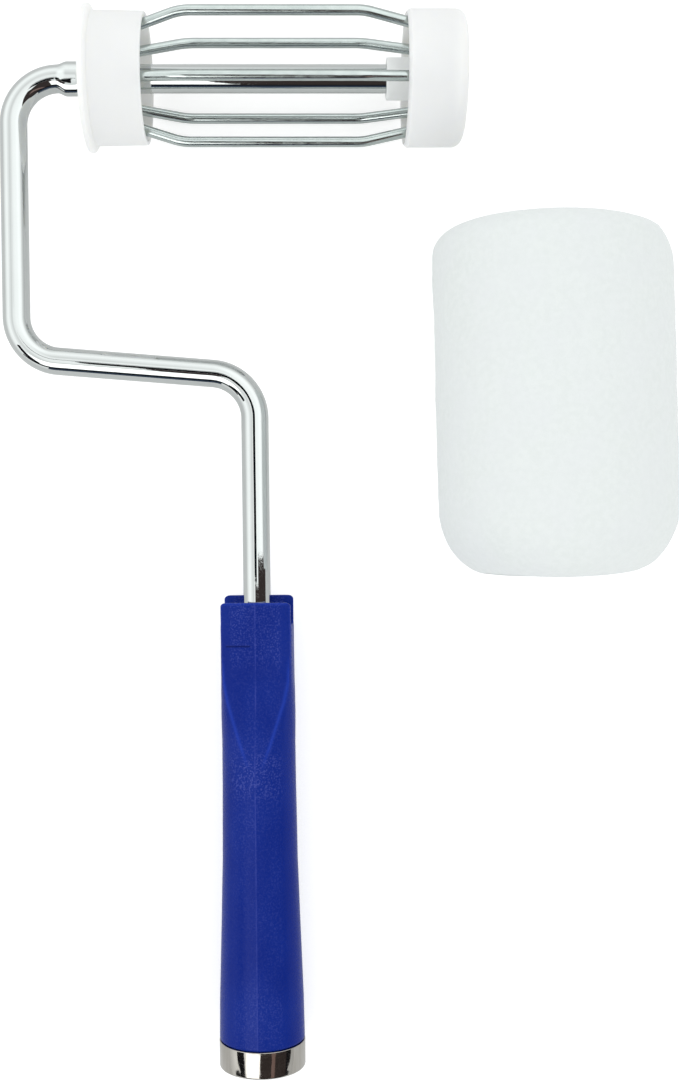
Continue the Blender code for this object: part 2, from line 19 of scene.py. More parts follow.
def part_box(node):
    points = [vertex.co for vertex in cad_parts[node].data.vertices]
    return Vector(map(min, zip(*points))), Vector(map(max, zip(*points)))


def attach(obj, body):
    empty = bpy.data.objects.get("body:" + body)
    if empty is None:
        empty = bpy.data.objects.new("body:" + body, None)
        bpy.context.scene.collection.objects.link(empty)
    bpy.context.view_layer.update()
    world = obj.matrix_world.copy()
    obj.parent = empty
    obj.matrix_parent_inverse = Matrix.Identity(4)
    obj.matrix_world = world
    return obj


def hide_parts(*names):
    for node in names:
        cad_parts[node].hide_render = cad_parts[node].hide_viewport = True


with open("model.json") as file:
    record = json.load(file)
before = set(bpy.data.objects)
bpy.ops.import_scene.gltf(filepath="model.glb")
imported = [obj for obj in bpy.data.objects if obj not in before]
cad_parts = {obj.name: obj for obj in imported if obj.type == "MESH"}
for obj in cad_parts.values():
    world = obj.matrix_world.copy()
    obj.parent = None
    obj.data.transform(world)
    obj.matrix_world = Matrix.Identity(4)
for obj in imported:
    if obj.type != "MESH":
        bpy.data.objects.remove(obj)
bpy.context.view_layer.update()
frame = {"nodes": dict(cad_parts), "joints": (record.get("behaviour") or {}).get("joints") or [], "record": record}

# ---- sizes shared with the design

GAP = 0.0003

ROD_RADIUS = 0.00397
ROD_BEND_RADIUS = 0.0131
AXLE_END = (0.1026, 0.0)
AXLE_CORNER = (-0.0215, 0.0)
ARM_CORNER = (-0.0207, -0.0802)
STEM_CORNER = (0.0481, -0.0856)
STEM_LENGTH = 0.140
EAR_START = -0.0086
EAR_SHOULDER = -0.0058
EAR_END = -0.00185
EAR_REACH = 0.00495
EAR_FALL = 0.0012
EAR_FLATTENING = 0.10
# Where along the axle, how far across, how deep, how long and how wide the pinch mark is.
PINCH_MARK = (-0.0042, -0.0018, 0.00005, 0.0014, 0.0006)
AXLE_CHAMFER = 0.0006
AXLE_CHAMFER_SHARE = 0.12

FLANGE_RADIUS = 0.02045
FLANGE_THICKNESS = 0.0015
INNER_CAP_ROOT_RADIUS = 0.0186
INNER_CAP_ROOT = 0.0024
FLANGE_EASING = 0.0006
INNER_CAP_MOUTH_RADIUS = 0.0183
INNER_CAP_DEPTH = 0.0172
CAP_WALL = 0.0012
CAP_FLOOR = 0.0024
HUB_WALL = 0.0019
OUTER_CAP_MOUTH = 0.0915
OUTER_CAP_DEPTH = 0.01685
OUTER_CAP_RADIUS = 0.01895
OUTER_CAP_CORNER = 0.0030
OUTER_CAP_CHAMFER = 0.0009

BUSH_RADIUS = 0.0059
BUSH_BORE_RADIUS = ROD_RADIUS + GAP
INNER_BUSH_LENGTH = 0.0130
OUTER_BUSH_START = 0.08615
OUTER_BUSH_END = 0.0985
PUSH_NUT_RADIUS = 0.0068

WIRE_COUNT = 5
WIRE_RADIUS = 0.0015
WIRE_PITCH_RADIUS = 0.0186
WIRE_BOWS = (0.0003, -0.0001, -0.0008, -0.0003, 0.0)
WIRE_PHASE = math.radians(33.0)
WIRE_INNER_BEND = 0.0275
WIRE_OUTER_BEND = 0.0795
WIRE_INNER_END = (0.0075, 0.0120)
WIRE_OUTER_END = (0.1010, 0.0134)
WIRE_BEND_RADIUS = 0.018
SEAT_RADIUS = 0.0026
SEAT_LENGTH = 0.0085

HANDLE_TWIST = math.radians(4.5)
FRONT_JAW_TOP = 0.0654
BACK_JAW_TOP = 0.0636
JAW_HALF_WIDTH = 0.0105
JAW_CORNER_RADIUS = 0.0018
SLOT_HALF_GAP = 0.00425
SLOT_BOTTOM = 0.0718
ROD_SOCKET_END = 0.142
FERRULE_START = 0.1935
HANDLE_LENGTH = 0.2013
FERRULE_RADIUS = 0.0126
FERRULE_WALL = 0.0007
FERRULE_LIP_RADIUS = 0.0099
POLE_SOCKET_RADIUS = 0.00905
POLE_SOCKET_START = 0.168
# Along the axis, half width of the sides, half depth of the flats, radius of the round.
HANDLE_STATIONS = (
    (0.0600, 0.0105, 0.0063, 0.0121),
    (0.0780, 0.0105, 0.0063, 0.0118),
    (0.0880, 0.0107, 0.0064, 0.0114),
    (0.0940, 0.0113, 0.0074, 0.0110),
    (0.1060, 0.0131, 0.0098, 0.0107),
    (0.1180, 0.0160, 0.0150, 0.01075),
    (0.1300, 0.0160, 0.0160, 0.0109),
    (0.1405, 0.0160, 0.0160, 0.0110),
    (0.1480, 0.0160, 0.0160, 0.01125),
    (0.1570, 0.0160, 0.0160, 0.0115),
    (0.1690, 0.0160, 0.0160, 0.0119),
    (0.1810, 0.0160, 0.0160, 0.0123),
    (0.1932, 0.0160, 0.0160, 0.0125),
)
# How sharply the flats meet the round, and the sides meet the flats.
HANDLE_SHARPNESS = 20.0
FLATS_SHARPNESS = 9.0
# The line that the mould's insert leaves: its place along the axis, and where it starts and ends across.
INSERT_ALONG = 0.0779
INSERT_REACH = (-0.0088, -0.0012)
# The mesh attribute that tells the blue plastic where to paint a lighter highlight along the grip's edges.
EDGE_HIGHLIGHT_ATTRIBUTE = "painted_edge_highlight"

COVER_LENGTH = 0.0960
CORE_BORE_RADIUS = 0.0192
CORE_RADIUS = 0.0210
CORE_STAND_OUT = 0.0003
NAP_RADIUS = 0.0327
NAP_ROOT = 0.0025
# How far each shoulder of the nap reaches out and along.
NAP_UPPER_SHOULDER = (0.0065, 0.0065)
NAP_LOWER_SHOULDER = (0.0160, 0.0195)
NAP_FACE = 0.0006
# The upper end slants, more steeply past its corner; the lower end is drawn in at its sides.
NAP_SLANT = 0.032
NAP_CORNER = 0.0255
NAP_CORNER_SLANT = 0.45
NAP_LOWER_DIP = 0.0016
NAP_SLANT_REACH = 0.030
NAP_OVERHANG = 0.0017
COVER_YAW = math.radians(1.5)

FAR = 0.020

# ---- what carries the pieces

SPIN = next(joint for joint in frame["joints"] if joint["name"] == "cage_spin")
HANDLE_WAY = Vector(frame["record"]["mounts"][0]["axis"])
FLANGE_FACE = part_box("inner_end_cap")[0].x
AXLE_START = Vector((FLANGE_FACE, SPIN["pos_m"][1], SPIN["pos_m"][2]))
REST_TILT = math.atan2(-HANDLE_WAY.z, -HANDLE_WAY.y)
STEM_LEAN = math.asin(HANDLE_WAY.x)

ROD_AXES = Matrix.Translation(AXLE_START) @ Matrix.Rotation(REST_TILT, 4, "X")
CAGE_AXES = ROD_AXES @ Matrix.Rotation(math.pi / 2, 4, "Y")
HANDLE_AXES = (
    ROD_AXES
    @ Matrix.Translation((*STEM_CORNER, 0.0))
    @ Euler((math.pi / 2, 0.0, STEM_LEAN)).to_matrix().to_4x4()
)
GRIP_AXES = HANDLE_AXES @ Matrix.Rotation(HANDLE_TWIST, 4, "Z")
CORE_LOW, CORE_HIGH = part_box("cover_core")
COVER_AXES = (
    Matrix.Translation((CORE_LOW + CORE_HIGH) / 2)
    @ Euler((math.pi / 2, 0.0, COVER_YAW)).to_matrix().to_4x4()
)


# ---- mesh helpers

def linked(name, data):
    """A new object in the scene."""
    thing = bpy.data.objects.new(name, data)
    bpy.context.scene.collection.objects.link(thing)
    return thing


def add_piece(name, mesh, axes, body, look, replaced):
    piece = linked(name, mesh)
    piece.matrix_world = axes
    mesh.materials.clear()
    mesh.materials.append(look)
    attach(piece, body)
    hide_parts(*replaced)
    return piece


def shade_smooth(mesh, degrees=40.0):
    """Shade round faces smooth and keep real edges sharp."""
    mesh.shade_smooth()
    mesh.set_sharp_from_angle(angle=math.radians(degrees))


def mesh_from(name, points, faces):
    """A welded mesh with its faces pointing out."""
    mesh = bpy.data.meshes.new(name)
    mesh.from_pydata(points, [], faces)
    solid = bmesh.new()
    solid.from_mesh(mesh)
    bmesh.ops.remove_doubles(solid, verts=solid.verts, dist=0.000002)
    bmesh.ops.recalc_face_normals(solid, faces=solid.faces)
    solid.to_mesh(mesh)
    solid.free()
    return mesh


def ring_faces(rings, around, closed_ends=True, closed_path=False):
    """Faces between rings of equally many points."""
    faces = []
    count = rings if closed_path else rings - 1
    for ring in range(count):
        here = ring * around
        there = (ring + 1) % rings * around
        for side in range(around):
            after = (side + 1) % around
            faces.append((here + side, here + after, there + after, there + side))
    if closed_ends and not closed_path:
        faces.append(tuple(range(around)))
        faces.append(tuple((rings - 1) * around + side for side in range(around)))
    return faces


def corner_points(before, corner, after, radius, steps):
    """The points of an arc that rounds one corner of an outline."""
    corner = Vector(corner)
    back = (Vector(before) - corner).normalized()
    on = (Vector(after) - corner).normalized()
    half = back.angle(on) / 2
    if radius <= 0.0 or half > math.radians(89):
        return [corner]
    centre = corner + (back + on).normalized() * (radius / math.sin(half))
    start = corner + back * (radius / math.tan(half)) - centre
    stop = corner + on * (radius / math.tan(half)) - centre
    sweep = start.angle(stop)
    points = []
    for step in range(steps + 1):
        share = step / steps
        first = math.sin((1 - share) * sweep) / math.sin(sweep)
        second = math.sin(share * sweep) / math.sin(sweep)
        points.append(centre + start * first + stop * second)
    return points


def eased(profile, steps=4):
    """A closed (radius, height, easing) outline with each corner rounded by its easing."""
    points = []
    count = len(profile)
    for index, (radius, height, easing) in enumerate(profile):
        before = profile[index - 1][:2]
        after = profile[(index + 1) % count][:2]
        points += corner_points(before, (radius, height), after, easing, steps)
    return points


def turned(name, profile, sides):
    """A mesh turned about Z from a closed outline of (radius, height) points."""
    points = []
    for radius, height in profile:
        for side in range(sides):
            angle = 2 * math.pi * side / sides
            points.append((radius * math.cos(angle), radius * math.sin(angle), height))
    return mesh_from(name, points, ring_faces(len(profile), sides, closed_path=True))


def bent_path(corners, radius, steps):
    """A line through corners, each inner corner turned on an arc."""
    points = [Vector(corners[0])]
    for before, corner, after in zip(corners, corners[1:], corners[2:]):
        points += corner_points(before, corner, after, radius, steps)
    points.append(Vector(corners[-1]))
    return points


def refined(points, longest):
    """The same line with no step longer than longest(point)."""
    result = [points[0]]
    for start, end in zip(points, points[1:]):
        whole = (end - start).length
        way = (end - start).normalized()
        gone = 0.0
        while whole - gone > 1.5 * longest(start + way * gone):
            gone += longest(start + way * gone)
            result.append(start + way * gone)
        result.append(end)
    return result


def tube(name, path, binormal, sides, outline):
    """A tube along a flat line.  outline(point, angle) gives the offset in the line's plane and out of it."""
    points = []
    for index, point in enumerate(path):
        before = path[max(index - 1, 0)]
        after = path[min(index + 1, len(path) - 1)]
        across = (after - before).normalized().cross(binormal)
        for side in range(sides):
            angle = 2 * math.pi * side / sides
            flat, up = outline(point, angle)
            points.append(point + across * flat + binormal * up)
    return mesh_from(name, points, ring_faces(len(path), sides))


def evaluated(name, thing):
    """The mesh of an object with its modifiers applied; the object is removed."""
    graph = bpy.context.evaluated_depsgraph_get()
    mesh = bpy.data.meshes.new_from_object(thing.evaluated_get(graph))
    mesh.name = name
    bpy.data.objects.remove(thing, do_unlink=True)
    return mesh


def cut_and_joined(name, mesh, tools):
    """The mesh after Booleans with (mesh, operation) tools."""
    thing = linked(name, mesh)
    helpers = []
    for tool, operation in tools:
        helper = linked(f"{name}_tool", tool)
        helpers.append(helper)
        boolean = thing.modifiers.new("tool", "BOOLEAN")
        boolean.operation = operation
        boolean.solver = "EXACT"
        boolean.object = helper
    bpy.context.view_layer.update()
    result = evaluated(name, thing)
    for helper in helpers:
        bpy.data.objects.remove(helper, do_unlink=True)
    return result


def bar(start, end, radius, sides, easing=0.0):
    """A round bar between two points, as a mesh."""
    start = Vector(start)
    end = Vector(end)
    length = (end - start).length
    profile = [(0.0, length, 0.0), (radius, length, easing), (radius, 0.0, 0.0), (0.0, 0.0, 0.0)]
    mesh = turned("bar", eased(profile, 3), sides)
    turn = (end - start).to_track_quat("Z", "Y").to_matrix().to_4x4()
    mesh.transform(Matrix.Translation(start) @ turn)
    return mesh


def block(low, high):
    """A cutting block from its lowest corner to its highest."""
    mesh = bpy.data.meshes.new("block")
    solid = bmesh.new()
    bmesh.ops.create_cube(solid, size=1.0)
    low = Vector(low)
    high = Vector(high)
    scale = Matrix.Diagonal((*(high - low), 1.0))
    bmesh.ops.transform(solid, matrix=Matrix.Translation((low + high) / 2) @ scale, verts=solid.verts)
    solid.to_mesh(mesh)
    solid.free()
    return mesh


def smooth_step(value):
    """0 below 0, 1 above 1, and smooth between."""
    value = min(max(value, 0.0), 1.0)
    return value * value * (3 - 2 * value)


# ---- material helpers

def set_sockets(node, values):
    """Give constant values to a node's inputs."""
    for name, value in values.items():
        node.inputs[name].default_value = value


class Look:
    """A material whose nodes are added one by one; places are in the piece's own axes."""

    def __init__(self, name, roughness, metallic=0.0):
        self.material = bpy.data.materials.new(name)
        self.material.use_nodes = True
        self.nodes = self.material.node_tree.nodes
        self.links = self.material.node_tree.links
        self.shader = self.nodes["Principled BSDF"]
        set_sockets(self.shader, {"Roughness": roughness, "Metallic": metallic})
        self.place = self.nodes.new("ShaderNodeTexCoord").outputs["Object"]

    def part_of_place(self, axis):
        """One coordinate of the place, in metres."""
        split = self.nodes.new("ShaderNodeSeparateXYZ")
        self.links.new(self.place, split.inputs["Vector"])
        return split.outputs[axis]

    def stretched(self, scale):
        """The place, scaled along each axis."""
        mapping = self.nodes.new("ShaderNodeMapping")
        mapping.inputs["Scale"].default_value = scale
        self.links.new(self.place, mapping.inputs["Vector"])
        return mapping.outputs["Vector"]

    def grain(self, size, detail=2.0, stretch=(1.0, 1.0, 1.0)):
        """Noise with features of a given size in metres."""
        texture = self.nodes.new("ShaderNodeTexNoise")
        set_sockets(texture, {"Scale": 1.0 / size, "Detail": detail})
        self.links.new(self.stretched(stretch), texture.inputs["Vector"])
        return texture.outputs["Fac"]

    def ranged(self, value, low, high, start=0.3, end=0.7):
        """A value from start..end moved to low..high."""
        node = self.nodes.new("ShaderNodeMapRange")
        node.interpolation_type = "SMOOTHSTEP"
        set_sockets(node, {"From Min": start, "From Max": end, "To Min": low, "To Max": high})
        self.links.new(value, node.inputs["Value"])
        return node.outputs["Result"]

    def math(self, operation, first, second):
        """One calculation on two values."""
        node = self.nodes.new("ShaderNodeMath")
        node.operation = operation
        for socket, value in zip(node.inputs, (first, second)):
            if isinstance(value, float):
                socket.default_value = value
            else:
                self.links.new(value, socket)
        return node.outputs["Value"]

    def mixed(self, share, first, second):
        """A colour between two colours."""
        node = self.nodes.new("ShaderNodeMix")
        node.data_type = "RGBA"
        for socket, value in ((node.inputs[6], first), (node.inputs[7], second)):
            if isinstance(value, tuple):
                socket.default_value = (*value, 1.0)
            else:
                self.links.new(value, socket)
        self.links.new(share, node.inputs[0])
        return node.outputs[2]

    def colour(self, value):
        """Set the base colour."""
        self.links.new(value, self.shader.inputs["Base Color"])

    def roughness(self, value):
        """Set the roughness."""
        self.links.new(value, self.shader.inputs["Roughness"])

    def bumped(self, heights):
        """Bump from (height, strength, depth in metres) layers."""
        normal = None
        for height, strength, depth in heights:
            node = self.nodes.new("ShaderNodeBump")
            set_sockets(node, {"Strength": strength, "Distance": depth})
            self.links.new(height, node.inputs["Height"])
            if normal:
                self.links.new(normal, node.inputs["Normal"])
            normal = node.outputs["Normal"]
        self.links.new(normal, self.shader.inputs["Normal"])


def chrome_look():
    """Bright nickel-chrome plate over drawn wire."""
    look = Look("plated_steel", 0.04, 1.0)
    cloud = look.grain(0.012, 3.0)
    fine = look.grain(0.0006, 4.0)
    look.colour(look.mixed(cloud, (0.560, 0.588, 0.583), (0.605, 0.628, 0.624)))
    look.roughness(look.ranged(fine, 0.020, 0.055))
    look.bumped([(cloud, 0.10, 0.0004), (fine, 0.03, 0.00005)])
    return look.material


def zinc_look():
    """Zinc-plated spring wire: bright, a little green, with faint drawing streaks along it."""
    look = Look("zinc_wire", 0.22, 1.0)
    streak = look.grain(0.0006, 2.0, (1.0, 1.0, 0.03))
    cloud = look.grain(0.005, 3.0)
    bright = look.mixed(streak, (0.475, 0.530, 0.515), (0.555, 0.605, 0.595))
    look.colour(look.mixed(look.ranged(cloud, 0.0, 0.5), bright, (0.430, 0.480, 0.470)))
    look.roughness(look.ranged(cloud, 0.14, 0.26))
    look.bumped([(streak, 0.07, 0.00006), (cloud, 0.08, 0.00015)])
    return look.material


def eroded_share(look, along, drift):
    """Where the mould's eroded texture shows: most at the jaws and the throat, in patches elsewhere."""
    jaws = look.ranged(along, 1.0, 0.0, 0.0800, 0.0880)
    throat_start = look.ranged(along, 0.0, 1.0, 0.1040, 0.1120)
    throat_end = look.ranged(along, 1.0, 0.0, 0.1180, 0.1260)
    most = look.math("MAXIMUM", jaws, look.math("MULTIPLY", throat_start, throat_end))
    most = look.math("MULTIPLY", most, look.ranged(drift, 0.45, 1.0))
    return look.math("MAXIMUM", most, look.ranged(drift, 0.10, 0.45))


def parting_share(look, across):
    """Where the mould's parting line shows, in patches."""
    parting = look.ranged(look.math("ABSOLUTE", across, 0.0), 1.0, 0.0, 0.00005, 0.00030)
    patchy = look.ranged(look.grain(0.006, 2.0), 0.10, 0.50)
    return look.math("MULTIPLY", parting, patchy)


def insert_groove_shade(look, along, across):
    """Where shade is painted into the insert line's groove, fading out at both its ends."""
    fade = 0.0006
    first, last = INSERT_REACH
    away = look.math("ABSOLUTE", look.math("SUBTRACT", along, INSERT_ALONG), 0.0)
    insert = look.ranged(away, 1.0, 0.0, 0.00010, 0.00040)
    insert = look.math("MULTIPLY", insert, look.ranged(across, 0.0, 1.0, first, first + fade))
    return look.math("MULTIPLY", insert, look.ranged(across, 1.0, 0.0, last - fade, last))


def blue_look():
    """Royal blue moulded plastic: satin, with a fine eroded mould texture in patches, painted sparkle on it, a
    painted highlight along the edges and painted shade in the insert line.
    """
    look = Look("blue_plastic", 0.34)
    set_sockets(look.shader, {"Specular IOR Level": 0.08})
    along = look.part_of_place("Z")
    across = look.part_of_place("X")
    grit = look.grain(0.00048, 2.0)
    coarse = look.grain(0.0010, 2.0)
    drift = look.grain(0.016, 2.0, (1.0, 1.0, 0.5))
    eroded = eroded_share(look, along, drift)

    # Partly painted highlight: the eroded mould texture is real, but its sparkle is painted as lighter blue
    # specks, weaker towards the sides.
    middle = look.ranged(look.math("ABSOLUTE", across, 0.0), 0.75, 0.08, 0.0066, 0.0080)
    glint_specks = look.ranged(grit, 0.0, 1.0, 0.48, 0.66)
    glint_dots = look.math("MULTIPLY", glint_specks, look.math("MULTIPLY", eroded, middle))
    base = look.mixed(look.ranged(drift, 0.0, 1.0), (0.0034, 0.0172, 0.205), (0.0060, 0.0240, 0.240))
    base = look.mixed(glint_dots, base, (0.060, 0.082, 0.360))

    front = look.ranged(look.part_of_place("Y"), 0.0, 1.0, 0.0052, 0.0058)
    parting = look.math("MULTIPLY", parting_share(look, across), front)
    base = look.mixed(parting, base, (0.050, 0.070, 0.360))
    # Painted highlight: a lighter blue along the jaws' rims and the flats' edges, where the rounded edges would
    # catch the light.
    edge = look.nodes.new("ShaderNodeAttribute")
    edge.attribute_name = EDGE_HIGHLIGHT_ATTRIBUTE
    base = look.mixed(edge.outputs["Fac"], base, (0.016, 0.050, 0.420))
    # Painted shade: a darker blue in the groove of the insert line.
    insert = look.math("MULTIPLY", insert_groove_shade(look, along, across), front)
    look.colour(look.mixed(insert, base, (0.0020, 0.0100, 0.125)))

    look.roughness(look.ranged(coarse, 0.24, 0.34))
    worn = look.math("MULTIPLY", grit, eroded)
    look.bumped([(worn, 0.60, 0.00022), (coarse, 0.14, 0.00018)])
    return look.material


def band_look():
    """A drawn, polished metal band with faint lines round it and a slight waviness."""
    look = Look("polished_band", 0.07, 1.0)
    lines = look.grain(0.0003, 3.0, (0.04, 0.04, 1.0))
    streaks = look.grain(0.0010, 3.0, (1.0, 1.0, 0.12))
    wave = look.grain(0.005, 2.0, (1.0, 1.0, 0.35))
    polished = look.mixed(wave, (0.430, 0.412, 0.380), (0.500, 0.482, 0.452))
    look.colour(look.mixed(look.ranged(streaks, 0.0, 0.45), polished, (0.350, 0.328, 0.292)))
    look.roughness(look.ranged(lines, 0.05, 0.12))
    look.bumped([(wave, 0.30, 0.0006), (streaks, 0.06, 0.00010), (lines, 0.05, 0.00005)])
    return look.material


def white_look():
    """Milky white moulded plastic."""
    look = Look("white_plastic", 0.42)
    set_sockets(look.shader, {
        "Specular IOR Level": 0.12,
        "Subsurface Weight": 1.0,
        "Subsurface Radius": (1.0, 0.98, 0.90),
        "Subsurface Scale": 0.0026,
    })
    cloud = look.grain(0.009, 3.0)
    skin = look.grain(0.0005, 3.0)
    look.colour(look.mixed(cloud, (0.864, 0.864, 0.857), (0.892, 0.892, 0.885)))
    look.roughness(look.ranged(skin, 0.38, 0.48))
    look.bumped([(skin, 0.10, 0.00006), (cloud, 0.06, 0.00030)])
    return look.material


def bush_look():
    """White low-friction plastic, turned, a little greyer than the caps."""
    look = Look("bush_plastic", 0.36)
    set_sockets(look.shader, {
        "Specular IOR Level": 0.35,
        "Subsurface Weight": 0.60,
        "Subsurface Radius": (1.0, 1.0, 0.95),
        "Subsurface Scale": 0.0025,
    })
    rings = look.grain(0.0004, 2.0, (0.05, 0.05, 1.0))
    cloud = look.grain(0.003, 3.0)
    look.colour(look.mixed(cloud, (0.840, 0.856, 0.850), (0.890, 0.906, 0.900)))
    look.roughness(look.ranged(rings, 0.32, 0.44))
    look.bumped([(rings, 0.10, 0.00005)])
    return look.material


def spring_look():
    """Bare spring steel, blued a little by heat treatment."""
    look = Look("spring_steel", 0.34, 1.0)
    cloud = look.grain(0.0025, 3.0)
    fine = look.grain(0.0003, 4.0)
    look.colour(look.mixed(look.ranged(cloud, 0.0, 1.0), (0.300, 0.310, 0.335), (0.470, 0.465, 0.455)))
    look.roughness(look.ranged(fine, 0.26, 0.42))
    look.bumped([(fine, 0.12, 0.00005)])
    return look.material


def core_look():
    """Wound plastic tube: pale grey, with faint flow lines round it."""
    look = Look("core_plastic", 0.46)
    cloud = look.grain(0.006, 3.0)
    lines = look.grain(0.0006, 3.0, (0.12, 0.12, 1.0))
    look.colour(look.mixed(cloud, (0.560, 0.575, 0.585), (0.660, 0.670, 0.680)))
    look.roughness(look.ranged(lines, 0.40, 0.55))
    look.bumped([(lines, 0.18, 0.00008)])
    return look.material


def nap_look():
    """White woven pile: soft, matt and slightly uneven."""
    look = Look("nap_pile", 0.95)
    set_sockets(look.shader, {"Specular IOR Level": 0.10, "Sheen Weight": 0.15, "Sheen Roughness": 0.6})
    cloud = look.grain(0.011, 3.0)
    tuft = look.grain(0.0016, 3.0)
    fibre = look.grain(0.00035, 4.0)
    pale = look.mixed(look.ranged(tuft, 0.0, 1.0), (0.765, 0.800, 0.792), (0.795, 0.828, 0.822))
    look.colour(look.mixed(look.ranged(cloud, 0.0, 0.5), pale, (0.782, 0.806, 0.818)))
    look.bumped([(tuft, 0.16, 0.0003), (fibre, 0.40, 0.00014)])
    return look.material


# ---- frame rod

def ear_share(along):
    """How far the staked ears stand out at a place along the axle, from 0 to 1."""
    rise = smooth_step((along - EAR_START) / (EAR_SHOULDER - EAR_START))
    left = (EAR_END - along) / EAR_FALL
    fall = math.sqrt(1 - (1 - min(max(left, 0.0), 1.0)) ** 2)
    return rise * fall


def pinch_depth(along, flat):
    """How deep the staking tool's mark is at a place on top of the ears."""
    middle, across, depth, length, width = PINCH_MARK
    away = ((along - middle) / length) ** 2 + ((flat - across) / width) ** 2
    return depth * math.exp(-away)


def rod_outline(point, angle):
    """The rod's section: round, but for the ears, which were pressed out of it."""
    flat = ROD_RADIUS * math.cos(angle)
    up = ROD_RADIUS * math.sin(angle)
    on_axle = abs(point.y) < GAP and point.x > EAR_START
    if not on_axle:
        return flat, up
    share = ear_share(point.x)
    flat += math.copysign(share * (EAR_REACH - ROD_RADIUS) * abs(math.cos(angle)) ** 1.5, flat)
    up *= 1 - EAR_FLATTENING * share
    if point.x < EAR_END:
        up -= math.copysign(pinch_depth(point.x, flat) * abs(math.sin(angle)), up)
    chamfer = smooth_step((point.x - AXLE_END[0] + AXLE_CHAMFER) / AXLE_CHAMFER) * AXLE_CHAMFER_SHARE
    return flat * (1 - chamfer), up * (1 - chamfer)


def build_rod(look):
    """The bent wire: axle, arm, link and stem."""
    fine_step = 0.00012
    coarse_step = 0.0025
    stem_way = Vector((math.sin(STEM_LEAN), -math.cos(STEM_LEAN), 0.0))
    stem_end = Vector((*STEM_CORNER, 0.0)) + stem_way * STEM_LENGTH
    corners = [(*AXLE_END, 0.0), (*AXLE_CORNER, 0.0), (*ARM_CORNER, 0.0), (*STEM_CORNER, 0.0), stem_end]
    path = bent_path([Vector(corner) for corner in corners], ROD_BEND_RADIUS, 26)

    def longest(point):
        near_ears = abs(point.y) < GAP and EAR_START - 0.001 < point.x < EAR_END + 0.001
        near_end = point.x > AXLE_END[0] - 0.002
        return fine_step if near_ears or near_end else coarse_step

    mesh = tube("frame_rod_plated", refined(path, longest), Vector((0.0, 0.0, 1.0)), 96, rod_outline)
    shade_smooth(mesh, 50.0)
    return add_piece("frame_rod_plated", mesh, ROD_AXES, "frame", look, ["frame_rod"])


# ---- cage

def on_wire_plane(index, along, out):
    """A point in the cage's axes on the plane of one wire."""
    angle = WIRE_PHASE - index * 2 * math.pi / WIRE_COUNT
    return Vector((-out * math.sin(angle), out * math.cos(angle), along))


def wire_corners(index):
    """The four corners of a wire, in the cage's axes."""
    out = WIRE_PITCH_RADIUS + WIRE_BOWS[index]
    corners = [WIRE_INNER_END, (WIRE_INNER_BEND, out), (WIRE_OUTER_BEND, out), WIRE_OUTER_END]
    return [on_wire_plane(index, along, reach) for along, reach in corners]


def build_wire(index, look):
    """One bowed spring wire, very slightly uneven from its drawing."""
    unevenness = 0.00002
    corners = wire_corners(index)
    path = refined(bent_path(corners, WIRE_BEND_RADIUS, 14), lambda point: 0.0010)
    normal = (corners[1] - corners[0]).cross(corners[2] - corners[1]).normalized()

    def outline(point, angle):
        radius = WIRE_RADIUS + noise.noise(Vector((point.z * 160.0, index * 7.0, 0.0))) * unevenness
        return radius * math.cos(angle), radius * math.sin(angle)

    name = f"cage_wire_{index + 1}"
    mesh = tube(f"{name}_zinc", path, normal, 28, outline)
    shade_smooth(mesh, 50.0)
    return add_piece(f"{name}_zinc", mesh, CAGE_AXES, "cage", look, [name])


def seat_tools(end_index, bend_index, floor):
    """Bosses to join and holes to cut, where the wires' ends sit in a cap."""
    bosses = []
    holes = []
    for index in range(WIRE_COUNT):
        corners = wire_corners(index)
        end = corners[end_index]
        way = (corners[bend_index] - end).normalized()
        base = end - way * (abs(floor - end.z) / abs(way.z))
        bosses.append((bar(base, base + way * SEAT_LENGTH, SEAT_RADIUS, 36, 0.0004), "UNION"))
        holes.append((bar(end - way * GAP, end + way * FAR, WIRE_RADIUS + GAP, 28), "DIFFERENCE"))
    return bosses + holes


def build_inner_cap(look):
    """The flanged cap: a tapered cup with a hub for its bush."""
    hub_bore = BUSH_RADIUS + GAP
    hub_out = hub_bore + HUB_WALL
    inside = INNER_CAP_MOUTH_RADIUS - CAP_WALL
    hub_end = INNER_BUSH_LENGTH - 0.001
    profile = [
        (INNER_CAP_MOUTH_RADIUS, INNER_CAP_DEPTH, 0.00045),
        (INNER_CAP_ROOT_RADIUS, INNER_CAP_ROOT, 0.0005),
        (FLANGE_RADIUS, FLANGE_THICKNESS, FLANGE_EASING),
        (FLANGE_RADIUS, 0.0, FLANGE_EASING),
        (hub_bore, 0.0, 0.0003),
        (hub_bore, hub_end, 0.0003),
        (hub_out, hub_end, 0.0004),
        (hub_out, CAP_FLOOR, 0.0008),
        (inside, CAP_FLOOR, 0.0010),
        (inside, INNER_CAP_DEPTH, 0.00035),
    ]
    mesh = turned("inner_cap", eased(profile), 144)
    mesh = cut_and_joined("inner_end_cap_moulded", mesh, seat_tools(0, 1, CAP_FLOOR - 0.001))
    shade_smooth(mesh)
    return add_piece("inner_end_cap_moulded", mesh, CAGE_AXES, "cage", look,
                     ["inner_end_cap"])


